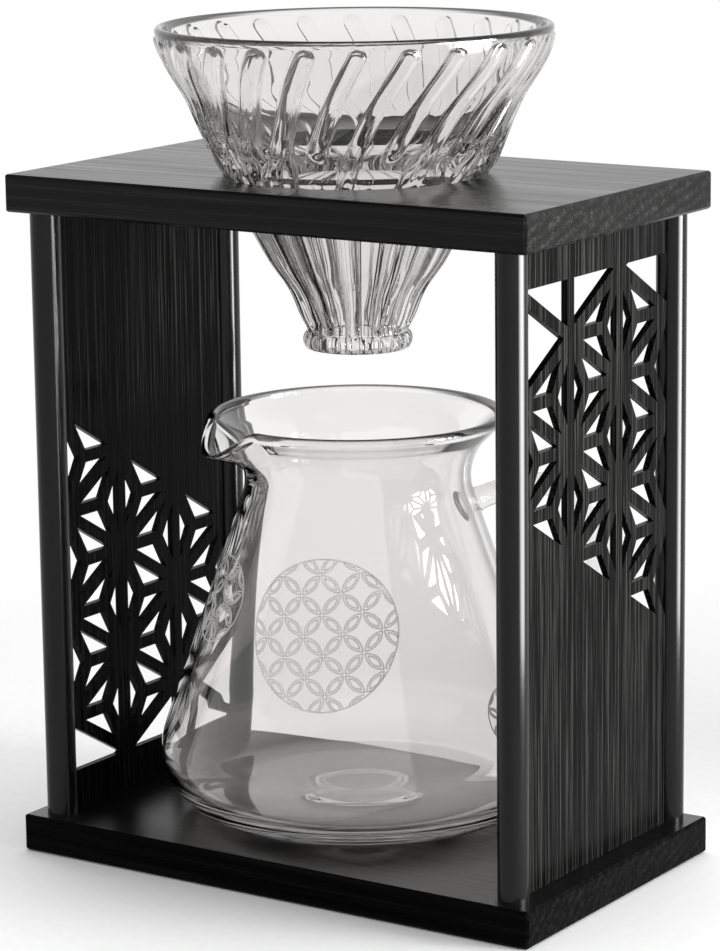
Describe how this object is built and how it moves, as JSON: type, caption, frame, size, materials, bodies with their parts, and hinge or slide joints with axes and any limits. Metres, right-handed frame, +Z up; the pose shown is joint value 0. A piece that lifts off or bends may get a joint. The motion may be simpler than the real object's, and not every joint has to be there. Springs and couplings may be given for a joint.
{
  "type": "pour-over dripper stand",
  "caption": "Black wooden pour-over stand: boards on round posts with cut-out star-lattice side panels, holding a spiral-fluted glass cone dripper above a glass server.",
  "frame": {"origin": "centre of the base board's underside, on the surface that the stand rests on", "axes": "+X towards the stand's right side, +Y towards its rear, +Z up along the dripper's axis"},
  "size_m": [0.176, 0.1372, 0.2468],
  "materials": {
    "board_wood": "black stain, satin, grain along the width",
    "panel_wood": "black stain, satin, fine upright grain",
    "post_metal": "satin black coat",
    "zinc_steel": "zinc plated",
    "insert_brass": "plain brass",
    "dripper_glass": "clear pressed glass",
    "server_glass": "clear blown glass"
  },
  "bodies": {
    "stand": {"base_board": "board_wood", "top_board": "board_wood", "front_left_post": "post_metal", "front_right_post": "post_metal", "rear_left_post": "post_metal", "rear_right_post": "post_metal", "left_lattice_panel": "panel_wood", "right_lattice_panel": "panel_wood", "base_screws": "zinc_steel", "top_studs": "zinc_steel", "top_inserts": "insert_brass"},
    "dripper": {"dripper": "dripper_glass"},
    "server": {"server": "server_glass", "server_handle": "server_glass"}
  },
  "joints": [
    {"name": "dripper_lift", "type": "slide", "parent": "stand", "child": "dripper", "axis": [0, 0, 1], "range_m": [0, 0.06]},
    {"name": "server_slide", "type": "slide", "parent": "stand", "child": "server", "axis": [0, -1, 0], "range_m": [0, 0.16]}
  ]
}
